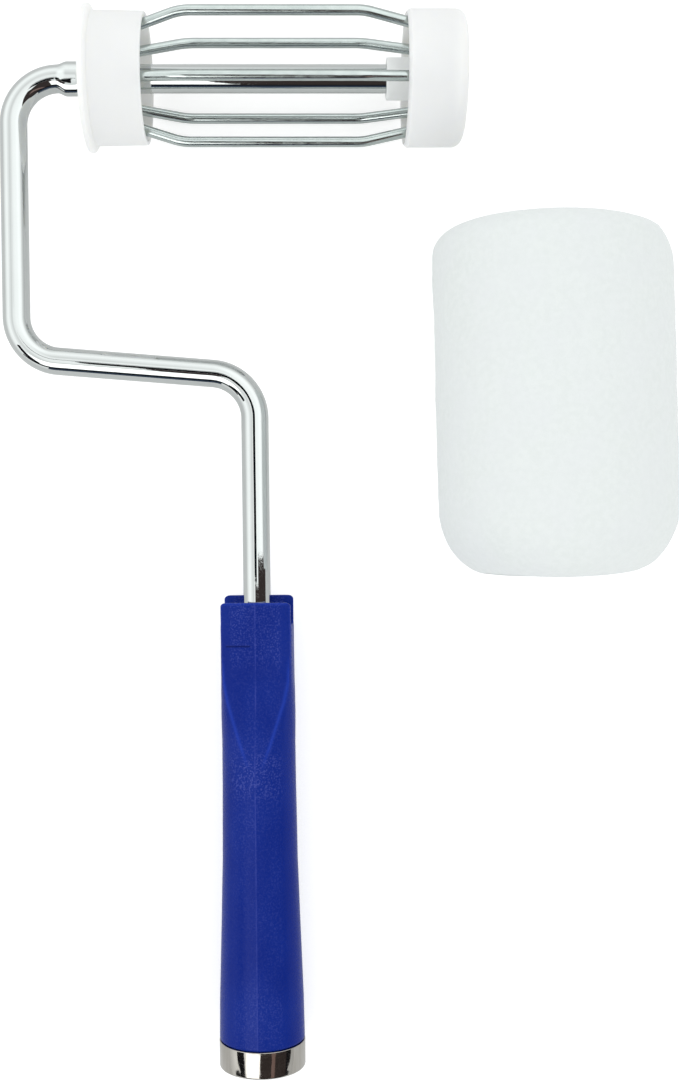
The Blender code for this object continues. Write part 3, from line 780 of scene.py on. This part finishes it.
def build_outer_cap(look):
    """The rounded cap: a cup with a stepped hub."""
    mouth = OUTER_CAP_MOUTH
    end = mouth + OUTER_CAP_DEPTH
    floor = end - CAP_FLOOR
    inside = OUTER_CAP_RADIUS - CAP_WALL
    hub_bore = BUSH_RADIUS + GAP
    nut_bore = PUSH_NUT_RADIUS + 2 * GAP
    hub_out = nut_bore + CAP_WALL
    hub_start = mouth + 0.0020
    step = OUTER_BUSH_END - 0.0004
    profile = [
        (nut_bore, end, 0.0003),
        (OUTER_CAP_RADIUS, end, OUTER_CAP_CORNER),
        (OUTER_CAP_RADIUS, mouth + OUTER_CAP_CHAMFER, 0.0005),
        (OUTER_CAP_RADIUS - OUTER_CAP_CHAMFER, mouth, 0.0002),
        (inside, mouth, 0.0003),
        (inside, floor, OUTER_CAP_CORNER - CAP_WALL),
        (hub_out, floor, 0.0008),
        (hub_out, hub_start, 0.0004),
        (hub_bore, hub_start, 0.0003),
        (hub_bore, step, 0.0),
        (nut_bore, step, 0.0002),
    ]
    mesh = turned("outer_cap", eased(profile, 7), 144)
    mesh = cut_and_joined("outer_end_cap_moulded", mesh, seat_tools(3, 2, floor + 0.001))
    shade_smooth(mesh)
    return add_piece("outer_end_cap_moulded", mesh, CAGE_AXES, "cage", look,
                     ["outer_end_cap"])


def build_outer_bush(look):
    """The bush that stands out of the outer cap."""
    profile = [
        (BUSH_BORE_RADIUS, OUTER_BUSH_END, 0.0002),
        (BUSH_RADIUS, OUTER_BUSH_END, 0.0003),
        (BUSH_RADIUS, OUTER_BUSH_START, 0.0004),
        (BUSH_BORE_RADIUS, OUTER_BUSH_START, 0.0003),
    ]
    mesh = turned("outer_bearing_bush_turned", eased(profile), 96)
    shade_smooth(mesh)
    return add_piece("outer_bearing_bush_turned", mesh, CAGE_AXES, "cage", look,
                     ["outer_bearing_bush"])


# ---- handle

def handle_section(along):
    """Half width, half depth and round radius of the grip at a place along it."""
    for (start, *first), (end, *second) in zip(HANDLE_STATIONS, HANDLE_STATIONS[1:]):
        if along <= end:
            share = (along - start) / (end - start)
            return [a + (b - a) * share for a, b in zip(first, second)]
    return HANDLE_STATIONS[-1][1:]


def section_radius(angle, half_width, half_depth, round_radius):
    """How far a round section with flats reaches at an angle."""
    flats = (abs(math.cos(angle)) / half_width) ** FLATS_SHARPNESS
    flats += (abs(math.sin(angle)) / half_depth) ** FLATS_SHARPNESS
    flats = flats ** (HANDLE_SHARPNESS / FLATS_SHARPNESS)
    return (flats + (1.0 / round_radius) ** HANDLE_SHARPNESS) ** (-1.0 / HANDLE_SHARPNESS)


def grip_blank():
    """The grip before its slot, jaws and sockets are cut."""
    sides = 160
    step = 0.001
    first = HANDLE_STATIONS[0][0]
    last = HANDLE_STATIONS[-1][0]
    count = round((last - first) / step)
    points = []
    for index in range(count + 1):
        along = first + (last - first) * index / count
        for side in range(sides):
            angle = 2 * math.pi * side / sides
            reach = section_radius(angle, *handle_section(along))
            points.append((reach * math.cos(angle), reach * math.sin(angle), along))
    spigot = FERRULE_RADIUS - FERRULE_WALL - GAP
    for along in (last, HANDLE_LENGTH - FERRULE_WALL - GAP):
        for side in range(sides):
            angle = 2 * math.pi * side / sides
            points.append((spigot * math.cos(angle), spigot * math.sin(angle), along))
    return mesh_from("grip_blank", points, ring_faces(count + 3, sides))


def jaw_cutter(top, side):
    """What is cut away above one jaw: a block with the jaw's rounded corners left out of it."""
    wide = JAW_HALF_WIDTH + FAR
    radius = JAW_CORNER_RADIUS
    inset = JAW_HALF_WIDTH - radius
    outline = [Vector((-wide, top - FAR)), Vector((wide, top - FAR)), Vector((wide, top + radius))]
    for sign in (1.0, -1.0):
        for step in range(9):
            angle = math.pi / 2 * step / 8
            if sign > 0:
                out = Vector((math.cos(angle), -math.sin(angle)))
            else:
                out = Vector((-math.sin(angle), -math.cos(angle)))
            outline.append(Vector((sign * inset, top + radius)) + out * radius)
    outline.append(Vector((-wide, top + radius)))
    points = [(x, y, z) for y in (0.0, side * FAR) for x, z in outline]
    return mesh_from("jaw_cutter", points, ring_faces(2, len(outline)))


def parting_ridge(x):
    """How high the parting line stands at each vertex."""
    half_width = 0.00045
    height = 0.00010
    return np.clip(1 - np.abs(x) / half_width, 0, 1) * height


def insert_groove(x, z):
    """How deep the insert line goes at each vertex."""
    half_width = 0.00035
    depth = 0.00012
    first, last = INSERT_REACH
    groove = np.clip(1 - np.abs(z - INSERT_ALONG) / half_width, 0, 1) * depth
    return np.where((x > first) & (x < last), groove, 0)


def flats_bead(x, z):
    """How much of the bead along the flats' edges is at each vertex, from 0 to 1; it also sets the painted
    highlight along the bead.
    """
    half_width = 0.00050
    start, start_fade = (0.0800, 0.0050)
    end, end_fade = (0.1130, 0.0060)
    stations, _, depths, rounds = np.transpose(HANDLE_STATIONS)
    flat_edge = np.sqrt(np.clip(rounds ** 2 - depths ** 2, 0, None))
    from_edge = (np.abs(x) - np.interp(z, stations, flat_edge)) / half_width
    fade = np.clip((z - start) / start_fade, 0, 1) * np.clip((end - z) / end_fade, 0, 1)
    return np.exp(-from_edge ** 2) * fade


def rim_highlight_share(x, y, z):
    """How near each vertex is to the jaws' tops and the sides' edges below them, from 0 to 1, for the painted edge
    highlight.
    """
    width = 0.00090
    sides_end, sides_fade = (0.0920, 0.0080)
    stations, widths, _, _ = np.transpose(HANDLE_STATIONS)
    jaw_top = np.where(y > 0, FRONT_JAW_TOP, BACK_JAW_TOP)
    top = np.clip(1 - (z - jaw_top) / width, 0, 1)
    side = np.clip(1 - (np.interp(z, stations, widths) - np.abs(x)) / width, 0, 1)
    side *= np.clip((sides_end - z) / sides_fade, 0, 1)
    return np.where(np.abs(y) > SLOT_HALF_GAP + 0.0006, np.maximum(top, side), 0)


def press_details(mesh):
    """Raise the parting line and the flats' edges, press in the insert line, and store where a lighter highlight
    is painted along the edges.
    """
    bead_height = 0.00012
    edge_highlight_strength = 0.6
    places = np.zeros(len(mesh.vertices) * 3, np.float32)
    mesh.vertices.foreach_get("co", places)
    x, y, z = places.reshape(-1, 3).T
    outside = np.abs(y) > SLOT_HALF_GAP + 0.0012
    outside &= (z > FRONT_JAW_TOP + 0.0004) & (z < FERRULE_START - 0.0006)
    bead = np.where(outside, flats_bead(x, z), 0)
    y += np.where(outside, np.sign(y) * parting_ridge(x), 0)
    y -= np.where(outside & (y > 0), insert_groove(x, z), 0)
    y += np.sign(y) * bead * bead_height
    # Painted highlight: how strongly each vertex is lightened in colour along the bead and the jaws' rims.
    mark = mesh.attributes.new(EDGE_HIGHLIGHT_ATTRIBUTE, "FLOAT", "POINT")
    strength = edge_highlight_strength * np.maximum(bead, rim_highlight_share(x, y, z))
    mark.data.foreach_set("value", strength.astype(np.float32))
    mesh.vertices.foreach_set("co", places)
    mesh.update()


def build_grip(look):
    """The moulded grip, forked at its top, with a round socket at each end."""
    rod_socket_radius = SLOT_HALF_GAP - 0.00005
    cutters = [
        block((-FAR, -SLOT_HALF_GAP, BACK_JAW_TOP - FAR), (FAR, SLOT_HALF_GAP, SLOT_BOTTOM)),
        bar((0, 0, SLOT_BOTTOM - GAP), (0, 0, ROD_SOCKET_END), rod_socket_radius, 64),
        bar((0, 0, POLE_SOCKET_START), (0, 0, HANDLE_LENGTH + FAR), POLE_SOCKET_RADIUS, 96),
        jaw_cutter(FRONT_JAW_TOP, 1.0),
        jaw_cutter(BACK_JAW_TOP, -1.0),
    ]
    mesh = cut_and_joined("grip_cut", grip_blank(), [(cutter, "DIFFERENCE") for cutter in cutters])
    thing = linked("grip_cut", mesh)
    remesh = thing.modifiers.new("remesh", "REMESH")
    remesh.mode = "VOXEL"
    remesh.voxel_size = 0.00036
    remesh.use_smooth_shade = True
    smooth = thing.modifiers.new("smooth", "SMOOTH")
    smooth.factor = 0.5
    smooth.iterations = 3
    bpy.context.view_layer.update()
    mesh = evaluated("handle_grip_moulded", thing)
    press_details(mesh)
    mesh.shade_smooth()
    return add_piece("handle_grip_moulded", mesh, GRIP_AXES, "frame", look, ["handle_grip"])


def build_ferrule(look):
    """The drawn band, turned in over the handle's end."""
    wall = FERRULE_WALL
    profile = [
        (FERRULE_LIP_RADIUS, HANDLE_LENGTH, 0.00025),
        (FERRULE_RADIUS, HANDLE_LENGTH, 0.0006),
        (FERRULE_RADIUS, FERRULE_START, 0.0002),
        (FERRULE_RADIUS - wall, FERRULE_START, 0.0001),
        (FERRULE_RADIUS - wall, HANDLE_LENGTH - wall, 0.0003),
        (FERRULE_LIP_RADIUS, HANDLE_LENGTH - wall, 0.00025),
    ]
    mesh = turned("handle_end_ferrule_polished", eased(profile), 160)
    shade_smooth(mesh)
    return add_piece("handle_end_ferrule_polished", mesh, HANDLE_AXES, "frame", look,
                     ["handle_end_ferrule"])


# ---- cover

def nap_profile(step):
    """The nap's outline from its bore's upper edge round the outside to the lower edge."""
    half = COVER_LENGTH / 2
    bore = CORE_RADIUS + GAP
    points = [(bore, -half)]
    for side, (out, along) in ((-1.0, NAP_UPPER_SHOULDER), (1.0, NAP_LOWER_SHOULDER)):
        depth = min(out, NAP_RADIUS - bore - NAP_FACE)
        face = math.acos(1 - depth / out)
        arc = []
        for index in range(17):
            angle = face * (1 - index / 16)
            drop = math.sin(face) - math.sin(angle)
            arc.append((NAP_RADIUS - out + out * math.cos(angle), side * (half - along * drop)))
        points += arc if side < 0 else arc[::-1]
    points.append((bore, half))
    flat = [Vector((radius, height, 0.0)) for radius, height in points]
    return [(point.x, point.y) for point in refined(flat, lambda point: step)]


def pile_height(place):
    """How far the pile stands out at a place, in metres."""
    tuft = noise.noise(place / 0.0017) * 0.00010
    clump = noise.noise(place / 0.0060 + Vector((3.1, 0.0, 0.0))) * 0.00016
    sway = noise.noise(place / 0.024 + Vector((0.0, 5.7, 0.0))) * 0.00030
    return tuft + clump + sway + 0.00040


def press_on_floor(mesh, axes):
    """Flatten what would stand below the floor."""
    back = axes.inverted()
    for vertex in mesh.vertices:
        place = axes @ vertex.co
        if place.z < 0.0:
            place.z = 0.0
            vertex.co = back @ place


def build_nap(look):
    """The pile round the core, with rounded ends that aren't trimmed quite square."""
    step = 0.00062
    sides = round(2 * math.pi * NAP_RADIUS / step)
    bore = CORE_RADIUS + GAP
    profile = nap_profile(step)
    points = []
    for radius, height in profile:
        depth = smooth_step((radius - bore) / NAP_ROOT)
        for side in range(sides):
            angle = 2 * math.pi * side / sides
            way = Vector((math.cos(angle), math.sin(angle), 0.0))
            place = way * radius + Vector((0.0, 0.0, height))
            upper = 1 - smooth_step((height + COVER_LENGTH / 2) / NAP_SLANT_REACH)
            lower = 1 - smooth_step((COVER_LENGTH / 2 - height) / NAP_SLANT_REACH)
            corner = NAP_CORNER_SLANT * max(0.0, place.x - NAP_CORNER)
            place.z += upper * depth * (NAP_SLANT * place.x + corner)
            place.z -= NAP_LOWER_DIP * lower * min(1.0, (place.x / bore) ** 2)
            points.append(place + way * (pile_height(place) * depth))
    mesh = mesh_from("nap_sleeve_pile", points, ring_faces(len(profile), sides, closed_path=True))
    press_on_floor(mesh, COVER_AXES)
    mesh.shade_smooth()
    piece = add_piece("nap_sleeve_pile", mesh, COVER_AXES, "cover", look, ["nap_sleeve"])
    return piece


def build_core(look):
    """The tube that the nap is bonded to, with the groove of its wound strip inside."""
    sides = 144
    top = -COVER_LENGTH / 2 - CORE_STAND_OUT
    length = COVER_LENGTH + 2 * CORE_STAND_OUT - NAP_OVERHANG
    step = 0.0010
    lines = round(length / step)
    pitch = 0.034
    groove_depth = 0.00012
    groove_half_width = 0.02
    points = []
    for wall, radius in enumerate((CORE_RADIUS, CORE_BORE_RADIUS)):
        for line in range(lines + 1):
            share = line / lines if wall == 0 else 1 - line / lines
            height = top + length * share
            for side in range(sides):
                angle = 2 * math.pi * side / sides
                turn = (height / pitch + side / sides) % 1.0
                groove = groove_depth * max(0.0, 1 - abs(turn - 0.5) / groove_half_width)
                reach = radius + wall * groove
                points.append((reach * math.cos(angle), reach * math.sin(angle), height))
    mesh = mesh_from("cover_core_wound", points, ring_faces(2 * (lines + 1), sides, closed_path=True))
    shade_smooth(mesh)
    return add_piece("cover_core_wound", mesh, COVER_AXES, "cover", look, ["cover_core"])


# ---- studio

def add_stage(name, corners, look):
    """A flat card or floor that isn't part of the object."""
    mesh = bpy.data.meshes.new(name)
    mesh.from_pydata([Vector(corner) for corner in corners], [], [tuple(range(len(corners)))])
    card = linked(name, mesh)
    mesh.materials.append(look)
    return card


def glowing(name, colour, strength):
    """A surface that gives light."""
    material = bpy.data.materials.new(name)
    material.use_nodes = True
    set_sockets(material.node_tree.nodes["Principled BSDF"], {
        "Base Color": (0.0, 0.0, 0.0, 1.0),
        "Roughness": 1.0,
        "Specular IOR Level": 0.0,
        "Emission Color": (*colour, 1.0),
        "Emission Strength": strength,
    })
    return material


def build_floor():
    """A plain white floor, which the camera and the matt surfaces see brighter than the metal does."""
    reach = 6.0
    own_light = 0.10
    seen_light = 0.42
    bounced_light = 0.20
    paper = glowing("floor_paper", (1.0, 1.0, 1.0), own_light)
    nodes = paper.node_tree.nodes
    links = paper.node_tree.links
    shader = nodes["Principled BSDF"]
    shader.inputs["Base Color"].default_value = (0.70, 0.70, 0.70, 1.0)
    path = nodes.new("ShaderNodeLightPath")
    total = None
    for ray, strength in (("Is Camera Ray", seen_light), ("Is Diffuse Ray", bounced_light)):
        light = nodes.new("ShaderNodeMath")
        light.operation = "MULTIPLY_ADD"
        light.inputs[1].default_value = strength
        light.inputs[2].default_value = own_light
        links.new(path.outputs[ray], light.inputs[0])
        if total:
            links.new(total, light.inputs[2])
        total = light.outputs["Value"]
    links.new(total, shader.inputs["Emission Strength"])
    corners = [(-reach, -reach, 0), (reach, -reach, 0), (reach, reach, 0), (-reach, reach, 0)]
    add_stage("floor", corners, paper)


def sky_ramp(nodes, height, levels):
    """Light that changes with height above the horizon, from (sine of the height, level) pairs."""
    brightest = 1.75
    ramp = nodes.new("ShaderNodeValToRGB")
    ramp.color_ramp.interpolation = "EASE"
    elements = ramp.color_ramp.elements
    for index, (place, level) in enumerate(levels):
        element = elements[index] if index < 2 else elements.new(place)
        element.position = place
        share = level / brightest
        element.color = (share * 0.985, share, share * 0.995, 1.0)
    light = nodes.new("ShaderNodeBackground")
    light.inputs["Strength"].default_value = brightest
    ramp.id_data.links.new(height, ramp.inputs["Fac"])
    ramp.id_data.links.new(ramp.outputs["Color"], light.inputs["Color"])
    return light.outputs["Background"]


def build_world():
    """Soft light from all round, with brighter and darker sides for the metal to show."""
    world = bpy.data.worlds.new("studio")
    world.use_nodes = True
    bpy.context.scene.world = world
    nodes = world.node_tree.nodes
    links = world.node_tree.links
    way = nodes.new("ShaderNodeTexCoord")
    split = nodes.new("ShaderNodeSeparateXYZ")
    links.new(way.outputs["Generated"], split.inputs["Vector"])
    path = nodes.new("ShaderNodeLightPath")

    def mixed(share, first, second):
        """Light between two lights."""
        mix = nodes.new("ShaderNodeMixShader")
        links.new(share, mix.inputs["Fac"])
        links.new(first, mix.inputs[1])
        links.new(second, mix.inputs[2])
        return mix.outputs["Shader"]

    left = sky_ramp(nodes, split.outputs["Z"],
                    ((0.03, 1.05), (0.42, 1.50), (0.58, 1.54), (0.74, 1.32), (0.89, 1.08), (0.97, 1.40)))
    right = sky_ramp(nodes, split.outputs["Z"],
                     ((0.03, 0.72), (0.25, 0.82), (0.42, 1.12), (0.58, 1.55), (0.75, 1.68), (0.96, 1.55)))
    side = nodes.new("ShaderNodeMapRange")
    set_sockets(side, {"From Min": -0.15, "From Max": 0.15})
    links.new(split.outputs["X"], side.inputs["Value"])
    gloss = mixed(side.outputs["Result"], left, right)
    soft_left = sky_ramp(nodes, split.outputs["Z"], ((0.0, 0.88), (0.30, 0.98), (0.60, 1.10), (0.90, 1.12)))
    soft_right = sky_ramp(nodes, split.outputs["Z"], ((0.0, 0.78), (0.30, 0.88), (0.60, 1.00), (0.90, 1.08)))
    around = nodes.new("ShaderNodeMapRange")
    around.inputs["From Min"].default_value = -1.0
    links.new(split.outputs["X"], around.inputs["Value"])
    soft = mixed(around.outputs["Result"], soft_left, soft_right)
    plain = nodes.new("ShaderNodeBackground")
    plain.inputs["Color"].default_value = (0.93, 0.94, 0.945, 1.0)
    lit = mixed(path.outputs["Is Diffuse Ray"], gloss, soft)
    seen = mixed(path.outputs["Is Camera Ray"], lit, plain.outputs["Background"])
    links.new(seen, nodes["World Output"].inputs["Surface"])


def add_card(name, corners, look):
    """A card that only the glossy surfaces see."""
    card = add_stage(name, corners, look)
    card.visible_camera = False
    card.visible_diffuse = False
    card.visible_shadow = False


def add_level_card(name, left, right, near, far, height, look):
    """A level rectangular card."""
    corners = [(left, near, height), (right, near, height), (right, far, height), (left, far, height)]
    add_card(name, corners, look)


def add_standing_card(name, start, end, low, high, look):
    """An upright rectangular card over the line from start to end."""
    add_card(name, [(*start, low), (*end, low), (*end, high), (*start, high)], look)


def build_cards():
    """Cards above and round the table, which give the bright metal its lines."""
    dark = glowing("card_dark", (0.055, 0.042, 0.040), 1.0)
    brown = glowing("card_brown", (0.300, 0.200, 0.180), 1.0)
    black = glowing("card_black", (0.010, 0.010, 0.012), 1.0)
    blue_black = glowing("card_blue_black", (0.045, 0.065, 0.100), 1.0)
    grey = glowing("card_grey", (1.0, 1.0, 1.0), 1.20)
    bright = glowing("card_bright", (1.0, 0.995, 0.985), 2.8)
    level = 0.47
    add_level_card("card_boom", -0.150, 0.000, -0.040, 0.075, level, black)
    add_level_card("card_rail", -0.190, -0.050, 0.088, 0.108, level, black)
    add_level_card("card_line", -0.210, -0.175, 0.130, 0.450, level, grey)
    add_level_card("card_jaws", -0.120, 0.120, -0.160, -0.042, level, dark)
    high = 0.62
    near_edge = [(-0.085, -0.300), (-0.060, -0.120), (-0.046, -0.100), (0.010, -0.235), (3.200, -0.250)]
    overhead = [(-0.085, -1.200)] + near_edge + [(3.200, -1.200)]
    add_card("card_overhead", [(x, y, high) for x, y in overhead], dark)
    add_level_card("card_streak", 0.260, 0.420, -1.200, -0.260, high - 0.01, brown)
    add_level_card("card_edge", 1.300, 3.200, -1.200, -0.260, high - 0.01, black)
    add_level_card("card_side", 0.120, 3.200, -0.250, -0.030, high, dark)
    add_level_card("card_bright", -0.620, -0.090, -0.900, -0.270, high, bright)
    front = -1.350
    add_standing_card("card_front", (-2.2, front), (2.2, front), 0.42, 0.78, black)
    add_standing_card("card_low", (-0.70, front), (0.90, front), 0.04, 0.42, blue_black)
    add_standing_card("card_left", (-1.0, -1.2), (-1.0, -0.3), 0.42, 0.90, black)


def build_camera():
    """Straight down onto the table, from the height that gives the picture its perspective."""
    data = bpy.data.cameras.new("camera")
    camera = linked("camera", data)
    beside_flange = 0.06275
    below_axle = 0.14201
    height = 0.4175
    camera.location = (FLANGE_FACE + beside_flange, AXLE_START.y - below_axle, height)
    data.sensor_width = 36.0
    data.lens = 45.80
    data.shift_x = 0.0320
    data.shift_y = 0.0280
    data.clip_start = 0.01
    data.clip_end = 50.0
    bpy.context.scene.camera = camera


# ---- the scene

CHROME = chrome_look()
ZINC = zinc_look()
BLUE = blue_look()
BAND = band_look()
WHITE = white_look()
BUSH = bush_look()
SPRING = spring_look()
CORE = core_look()
NAP = nap_look()

build_camera()
build_world()
build_floor()
build_cards()

build_rod(CHROME)
for wire_index in range(WIRE_COUNT):
    build_wire(wire_index, ZINC)
build_inner_cap(WHITE)
build_outer_cap(WHITE)
build_outer_bush(BUSH)
build_grip(BLUE)
build_ferrule(BAND)
build_core(CORE)
build_nap(NAP)

KEPT_NODES = {
    "inner_thrust_washer": SPRING,
    "outer_thrust_washer": SPRING,
    "axle_push_nut": SPRING,
    "inner_bearing_bush": BUSH,
    "outer_cap_plug": WHITE,
}
for node_name, node_look in KEPT_NODES.items():
    node = frame["nodes"][node_name]
    node.data.materials.clear()
    node.data.materials.append(node_look)

bpy.context.scene.view_settings.view_transform = "Standard"
